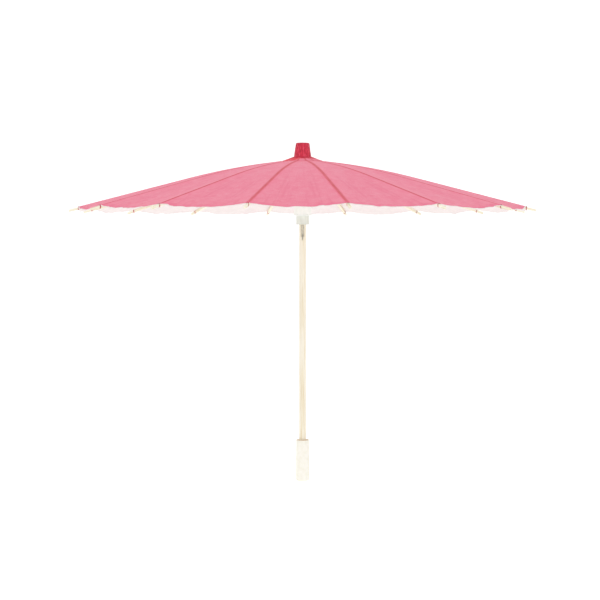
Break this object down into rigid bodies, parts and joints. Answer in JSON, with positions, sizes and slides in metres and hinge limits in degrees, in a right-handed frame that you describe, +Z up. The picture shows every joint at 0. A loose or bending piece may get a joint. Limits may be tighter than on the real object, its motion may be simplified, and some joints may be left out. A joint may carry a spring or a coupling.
{
  "type": "oil paper umbrella",
  "caption": "Open paper parasol with a shallow pink canopy, bamboo ribs and stretchers on a sliding runner, a wooden shaft, a crimson cap and an ivory handle.",
  "frame": {"origin": "middle of the handle's lower end, on the shaft's axis", "axes": "+Z up the shaft, from the handle to the cap. +X and +Y each point between two ribs, and the catch is on the -Y side"},
  "size_m": [0.7984, 0.7984, 0.596],
  "materials": {
    "shaft_wood": "fine sanded, unvarnished",
    "bamboo": "split bamboo, satin",
    "crown_wood": "turned, satin",
    "cap_crimson": "stained crimson, satin",
    "handle_plastic": "moulded, semi-gloss",
    "runner_plastic": "moulded, semi-gloss",
    "canopy_paper": "oiled mulberry paper, pink outside and white inside",
    "wire": "drawn wire"
  },
  "bodies": {
    "root": {"shaft": "shaft_wood", "handle": "handle_plastic", "cap": "cap_crimson", "crown": "crown_wood", "crown_wire": "wire", "crown_pin": "wire", "crown_collar": "canopy_paper"},
    "rib_01": {"rib_01": "bamboo", "canopy_01": "canopy_paper"},
    "rib_02": {"rib_02": "bamboo", "canopy_02": "canopy_paper"},
    "rib_03": {"rib_03": "bamboo", "canopy_03": "canopy_paper"},
    "rib_04": {"rib_04": "bamboo", "canopy_04": "canopy_paper"},
    "rib_05": {"rib_05": "bamboo", "canopy_05": "canopy_paper"},
    "rib_06": {"rib_06": "bamboo", "canopy_06": "canopy_paper"},
    "rib_07": {"rib_07": "bamboo", "canopy_07": "canopy_paper"},
    "rib_08": {"rib_08": "bamboo", "canopy_08": "canopy_paper"},
    "rib_09": {"rib_09": "bamboo", "canopy_09": "canopy_paper"},
    "rib_10": {"rib_10": "bamboo", "canopy_10": "canopy_paper"},
    "rib_11": {"rib_11": "bamboo", "canopy_11": "canopy_paper"},
    "rib_12": {"rib_12": "bamboo", "canopy_12": "canopy_paper"},
    "rib_13": {"rib_13": "bamboo", "canopy_13": "canopy_paper"},
    "rib_14": {"rib_14": "bamboo", "canopy_14": "canopy_paper"},
    "rib_15": {"rib_15": "bamboo", "canopy_15": "canopy_paper"},
    "rib_16": {"rib_16": "bamboo", "canopy_16": "canopy_paper"},
    "stretcher_01": {"stretcher_01": "bamboo"},
    "stretcher_02": {"stretcher_02": "bamboo"},
    "stretcher_03": {"stretcher_03": "bamboo"},
    "stretcher_04": {"stretcher_04": "bamboo"},
    "stretcher_05": {"stretcher_05": "bamboo"},
    "stretcher_06": {"stretcher_06": "bamboo"},
    "stretcher_07": {"stretcher_07": "bamboo"},
    "stretcher_08": {"stretcher_08": "bamboo"},
    "stretcher_09": {"stretcher_09": "bamboo"},
    "stretcher_10": {"stretcher_10": "bamboo"},
    "stretcher_11": {"stretcher_11": "bamboo"},
    "stretcher_12": {"stretcher_12": "bamboo"},
    "stretcher_13": {"stretcher_13": "bamboo"},
    "stretcher_14": {"stretcher_14": "bamboo"},
    "stretcher_15": {"stretcher_15": "bamboo"},
    "stretcher_16": {"stretcher_16": "bamboo"},
    "runner": {"runner": "runner_plastic", "runner_wire": "wire"},
    "catch": {"catch_spring": "wire"}
  },
  "joints": [
    {"name": "canopy_fold", "type": "hinge", "parent": "root", "child": "rib_01", "pos_m": [0.01172, 0.00233, 0.5615], "axis": [-0.1951, 0.9808, 0], "range_deg": [0, 73.53], "deforming": ["canopy_01", "catch_spring"]},
    {"name": "rib_02_fold", "type": "hinge", "parent": "root", "child": "rib_02", "pos_m": [0.00994, 0.00664, 0.5615], "axis": [-0.5556, 0.8315, 0], "range_deg": [0, 73.53], "deforming": ["canopy_02"]},
    {"name": "rib_03_fold", "type": "hinge", "parent": "root", "child": "rib_03", "pos_m": [0.00664, 0.00994, 0.5615], "axis": [-0.8315, 0.5556, 0], "range_deg": [0, 73.53], "deforming": ["canopy_03"]},
    {"name": "rib_04_fold", "type": "hinge", "parent": "root", "child": "rib_04", "pos_m": [0.00233, 0.01172, 0.5615], "axis": [-0.9808, 0.1951, 0], "range_deg": [0, 73.53], "deforming": ["canopy_04"]},
    {"name": "rib_05_fold", "type": "hinge", "parent": "root", "child": "rib_05", "pos_m": [-0.00233, 0.01172, 0.5615], "axis": [-0.9808, -0.1951, 0], "range_deg": [0, 73.53], "deforming": ["canopy_05"]},
    {"name": "rib_06_fold", "type": "hinge", "parent": "root", "child": "rib_06", "pos_m": [-0.00664, 0.00994, 0.5615], "axis": [-0.8315, -0.5556, 0], "range_deg": [0, 73.53], "deforming": ["canopy_06"]},
    {"name": "rib_07_fold", "type": "hinge", "parent": "root", "child": "rib_07", "pos_m": [-0.00994, 0.00664, 0.5615], "axis": [-0.5556, -0.8315, 0], "range_deg": [0, 73.53], "deforming": ["canopy_07"]},
    {"name": "rib_08_fold", "type": "hinge", "parent": "root", "child": "rib_08", "pos_m": [-0.01172, 0.00233, 0.5615], "axis": [-0.1951, -0.9808, 0], "range_deg": [0, 73.53], "deforming": ["canopy_08"]},
    {"name": "rib_09_fold", "type": "hinge", "parent": "root", "child": "rib_09", "pos_m": [-0.01172, -0.00233, 0.5615], "axis": [0.1951, -0.9808, 0], "range_deg": [0, 73.53], "deforming": ["canopy_09"]},
    {"name": "rib_10_fold", "type": "hinge", "parent": "root", "child": "rib_10", "pos_m": [-0.00994, -0.00664, 0.5615], "axis": [0.5556, -0.8315, 0], "range_deg": [0, 73.53], "deforming": ["canopy_10"]},
    {"name": "rib_11_fold", "type": "hinge", "parent": "root", "child": "rib_11", "pos_m": [-0.00664, -0.00994, 0.5615], "axis": [0.8315, -0.5556, 0], "range_deg": [0, 73.53], "deforming": ["canopy_11"]},
    {"name": "rib_12_fold", "type": "hinge", "parent": "root", "child": "rib_12", "pos_m": [-0.00233, -0.01172, 0.5615], "axis": [0.9808, -0.1951, 0], "range_deg": [0, 73.53], "deforming": ["canopy_12"]},
    {"name": "rib_13_fold", "type": "hinge", "parent": "root", "child": "rib_13", "pos_m": [0.00233, -0.01172, 0.5615], "axis": [0.9808, 0.1951, 0], "range_deg": [0, 73.53], "deforming": ["canopy_13"]},
    {"name": "rib_14_fold", "type": "hinge", "parent": "root", "child": "rib_14", "pos_m": [0.00664, -0.00994, 0.5615], "axis": [0.8315, 0.5556, 0], "range_deg": [0, 73.53], "deforming": ["canopy_14"]},
    {"name": "rib_15_fold", "type": "hinge", "parent": "root", "child": "rib_15", "pos_m": [0.00994, -0.00664, 0.5615], "axis": [0.5556, 0.8315, 0], "range_deg": [0, 73.53], "deforming": ["canopy_15"]},
    {"name": "rib_16_fold", "type": "hinge", "parent": "root", "child": "rib_16", "pos_m": [0.01172, -0.00233, 0.5615], "axis": [0.1951, 0.9808, 0], "range_deg": [0, 73.53], "deforming": ["canopy_16"]},
    {"name": "stretcher_01_turn", "type": "hinge", "parent": "rib_01", "child": "stretcher_01", "pos_m": [0.20461, 0.0407, 0.52517], "axis": [-0.1951, 0.9808, 0], "range_deg": [-147.06, 0]},
    {"name": "stretcher_02_turn", "type": "hinge", "parent": "rib_02", "child": "stretcher_02", "pos_m": [0.17346, 0.1159, 0.52517], "axis": [-0.5556, 0.8315, 0], "range_deg": [-147.06, 0]},
    {"name": "stretcher_03_turn", "type": "hinge", "parent": "rib_03", "child": "stretcher_03", "pos_m": [0.1159, 0.17346, 0.52517], "axis": [-0.8315, 0.5556, 0], "range_deg": [-147.06, 0]},
    {"name": "stretcher_04_turn", "type": "hinge", "parent": "rib_04", "child": "stretcher_04", "pos_m": [0.0407, 0.20461, 0.52517], "axis": [-0.9808, 0.1951, 0], "range_deg": [-147.06, 0]},
    {"name": "stretcher_05_turn", "type": "hinge", "parent": "rib_05", "child": "stretcher_05", "pos_m": [-0.0407, 0.20461, 0.52517], "axis": [-0.9808, -0.1951, 0], "range_deg": [-147.06, 0]},
    {"name": "stretcher_06_turn", "type": "hinge", "parent": "rib_06", "child": "stretcher_06", "pos_m": [-0.1159, 0.17346, 0.52517], "axis": [-0.8315, -0.5556, 0], "range_deg": [-147.06, 0]},
    {"name": "stretcher_07_turn", "type": "hinge", "parent": "rib_07", "child": "stretcher_07", "pos_m": [-0.17346, 0.1159, 0.52517], "axis": [-0.5556, -0.8315, 0], "range_deg": [-147.06, 0]},
    {"name": "stretcher_08_turn", "type": "hinge", "parent": "rib_08", "child": "stretcher_08", "pos_m": [-0.20461, 0.0407, 0.52517], "axis": [-0.1951, -0.9808, 0], "range_deg": [-147.06, 0]},
    {"name": "stretcher_09_turn", "type": "hinge", "parent": "rib_09", "child": "stretcher_09", "pos_m": [-0.20461, -0.0407, 0.52517], "axis": [0.1951, -0.9808, 0], "range_deg": [-147.06, 0]},
    {"name": "stretcher_10_turn", "type": "hinge", "parent": "rib_10", "child": "stretcher_10", "pos_m": [-0.17346, -0.1159, 0.52517], "axis": [0.5556, -0.8315, 0], "range_deg": [-147.06, 0]},
    {"name": "stretcher_11_turn", "type": "hinge", "parent": "rib_11", "child": "stretcher_11", "pos_m": [-0.1159, -0.17346, 0.52517], "axis": [0.8315, -0.5556, 0], "range_deg": [-147.06, 0]},
    {"name": "stretcher_12_turn", "type": "hinge", "parent": "rib_12", "child": "stretcher_12", "pos_m": [-0.0407, -0.20461, 0.52517], "axis": [0.9808, -0.1951, 0], "range_deg": [-147.06, 0]},
    {"name": "stretcher_13_turn", "type": "hinge", "parent": "rib_13", "child": "stretcher_13", "pos_m": [0.0407, -0.20461, 0.52517], "axis": [0.9808, 0.1951, 0], "range_deg": [-147.06, 0]},
    {"name": "stretcher_14_turn", "type": "hinge", "parent": "rib_14", "child": "stretcher_14", "pos_m": [0.1159, -0.17346, 0.52517], "axis": [0.8315, 0.5556, 0], "range_deg": [-147.06, 0]},
    {"name": "stretcher_15_turn", "type": "hinge", "parent": "rib_15", "child": "stretcher_15", "pos_m": [0.17346, -0.1159, 0.52517], "axis": [0.5556, 0.8315, 0], "range_deg": [-147.06, 0]},
    {"name": "stretcher_16_turn", "type": "hinge", "parent": "rib_16", "child": "stretcher_16", "pos_m": [0.20461, -0.0407, 0.52517], "axis": [0.1951, 0.9808, 0], "range_deg": [-147.06, 0]},
    {"name": "runner_turn", "type": "hinge", "parent": "stretcher_01", "child": "runner", "pos_m": [0.01172, 0.00233, 0.48884], "axis": [-0.1951, 0.9808, 0], "range_deg": [0, 73.53]},
    {"name": "catch_press", "type": "hinge", "parent": "root", "child": "catch", "pos_m": [0, -0.0026, 0.42714], "axis": [-1, 0, 0], "range_deg": [0, 10.5], "stiffness_Nm_per_rad": 0.02, "springref_deg": -11.46}
  ],
  "couplings": [
    {"joint": "rib_02_fold", "follows": "canopy_fold", "ratio": 1},
    {"joint": "rib_03_fold", "follows": "canopy_fold", "ratio": 1},
    {"joint": "rib_04_fold", "follows": "canopy_fold", "ratio": 1},
    {"joint": "rib_05_fold", "follows": "canopy_fold", "ratio": 1},
    {"joint": "rib_06_fold", "follows": "canopy_fold", "ratio": 1},
    {"joint": "rib_07_fold", "follows": "canopy_fold", "ratio": 1},
    {"joint": "rib_08_fold", "follows": "canopy_fold", "ratio": 1},
    {"joint": "rib_09_fold", "follows": "canopy_fold", "ratio": 1},
    {"joint": "rib_10_fold", "follows": "canopy_fold", "ratio": 1},
    {"joint": "rib_11_fold", "follows": "canopy_fold", "ratio": 1},
    {"joint": "rib_12_fold", "follows": "canopy_fold", "ratio": 1},
    {"joint": "rib_13_fold", "follows": "canopy_fold", "ratio": 1},
    {"joint": "rib_14_fold", "follows": "canopy_fold", "ratio": 1},
    {"joint": "rib_15_fold", "follows": "canopy_fold", "ratio": 1},
    {"joint": "rib_16_fold", "follows": "canopy_fold", "ratio": 1},
    {"joint": "stretcher_01_turn", "follows": "canopy_fold", "ratio": -2},
    {"joint": "stretcher_02_turn", "follows": "canopy_fold", "ratio": -2},
    {"joint": "stretcher_03_turn", "follows": "canopy_fold", "ratio": -2},
    {"joint": "stretcher_04_turn", "follows": "canopy_fold", "ratio": -2},
    {"joint": "stretcher_05_turn", "follows": "canopy_fold", "ratio": -2},
    {"joint": "stretcher_06_turn", "follows": "canopy_fold", "ratio": -2},
    {"joint": "stretcher_07_turn", "follows": "canopy_fold", "ratio": -2},
    {"joint": "stretcher_08_turn", "follows": "canopy_fold", "ratio": -2},
    {"joint": "stretcher_09_turn", "follows": "canopy_fold", "ratio": -2},
    {"joint": "stretcher_10_turn", "follows": "canopy_fold", "ratio": -2},
    {"joint": "stretcher_11_turn", "follows": "canopy_fold", "ratio": -2},
    {"joint": "stretcher_12_turn", "follows": "canopy_fold", "ratio": -2},
    {"joint": "stretcher_13_turn", "follows": "canopy_fold", "ratio": -2},
    {"joint": "stretcher_14_turn", "follows": "canopy_fold", "ratio": -2},
    {"joint": "stretcher_15_turn", "follows": "canopy_fold", "ratio": -2},
    {"joint": "stretcher_16_turn", "follows": "canopy_fold", "ratio": -2},
    {"joint": "runner_turn", "follows": "canopy_fold", "ratio": 1}
  ]
}
